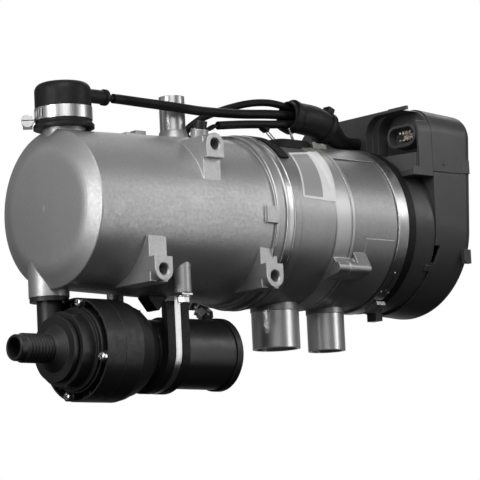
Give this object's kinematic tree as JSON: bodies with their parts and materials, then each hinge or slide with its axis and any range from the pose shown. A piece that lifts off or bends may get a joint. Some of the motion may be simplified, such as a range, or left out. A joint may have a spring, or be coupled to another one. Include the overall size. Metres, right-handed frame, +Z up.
{
  "type": "diesel coolant heater",
  "caption": "Fuel-fired coolant heater for a vehicle: cast water jacket, clamped burner housing, fan end with control case, circulation pump and sensor leads.",
  "frame": {"origin": "on the axis of the upper mounting hole, where the hole's wall starts at its mouth", "axes": "+X along the heater from the closed end of the water jacket to the fan end, +Z up along the coolant outlet, the mounting faces look along -Y"},
  "size_m": [0.415, 0.1326, 0.2358],
  "materials": {
    "jacket_casting": "satin",
    "housing_casting": "satin",
    "pump_casting": "satin",
    "inner_casting": "satin",
    "clamp_steel": "polished",
    "heat_steel": "matt",
    "shaft_steel": "polished",
    "fastener_steel": "polished",
    "cover_plastic": "satin",
    "pump_plastic": "matt",
    "fan_plastic": "matt",
    "cable_plastic": "matt",
    "board_laminate": "satin",
    "black_rubber": "matt",
    "seal_rubber": "matt",
    "contact_brass": "polished",
    "motor_metal": "satin"
  },
  "bodies": {
    "heater": {"water_jacket": "jacket_casting", "heat_exchanger": "inner_casting", "exchanger_seal": "seal_rubber", "flame_tube": "heat_steel", "burner_insert": "heat_steel", "glow_plug": "shaft_steel", "joint_clamp": "clamp_steel", "joint_clamp_bolt": "fastener_steel", "joint_clamp_nut": "fastener_steel", "burner_housing": "housing_casting", "fan_clamp": "clamp_steel", "fan_clamp_buckle": "clamp_steel", "fan_seal": "black_rubber", "fan_housing": "cover_plastic", "fan_motor": "motor_metal", "control_case": "cover_plastic", "end_cover": "cover_plastic", "control_board": "board_laminate", "connector_socket": "cover_plastic", "connector_pins": "contact_brass", "sensor_boot": "black_rubber", "boot_clamp": "clamp_steel", "boot_clamp_screw": "fastener_steel", "coolant_sensor": "contact_brass", "overheat_sensor": "contact_brass", "temperature_sensor": "cable_plastic", "sensor_lead": "cable_plastic", "overheat_lead": "cable_plastic", "temperature_lead": "cable_plastic", "harness_sleeve": "cable_plastic", "cable_ties": "cable_plastic", "cable_channel": "cover_plastic", "cable_strap": "cover_plastic", "harness_bracket": "clamp_steel", "pump_cover": "pump_plastic", "pump_cover_screws": "fastener_steel", "pump_seal": "seal_rubber", "neck_seal": "seal_rubber", "pump_body": "pump_plastic", "pump_motor_case": "pump_casting", "pump_end_cap": "pump_plastic", "pump_clip": "clamp_steel", "clip_liner": "black_rubber", "clip_bolts": "fastener_steel", "pump_stop": "black_rubber"},
    "fan_rotor": {"fan_impeller": "fan_plastic", "fan_shaft": "shaft_steel"},
    "pump_rotor": {"pump_impeller": "pump_plastic", "pump_shaft": "shaft_steel"}
  },
  "joints": [
    {"name": "fan_spin", "type": "hinge", "parent": "heater", "child": "fan_rotor", "pos_m": [0.2089, 0.0611, -0.046], "axis": [1, 0, 0], "continuous": true},
    {"name": "pump_spin", "type": "hinge", "parent": "heater", "child": "pump_rotor", "pos_m": [-0.0711, 0.0611, -0.1473], "axis": [1, 0, 0], "continuous": true}
  ]
}
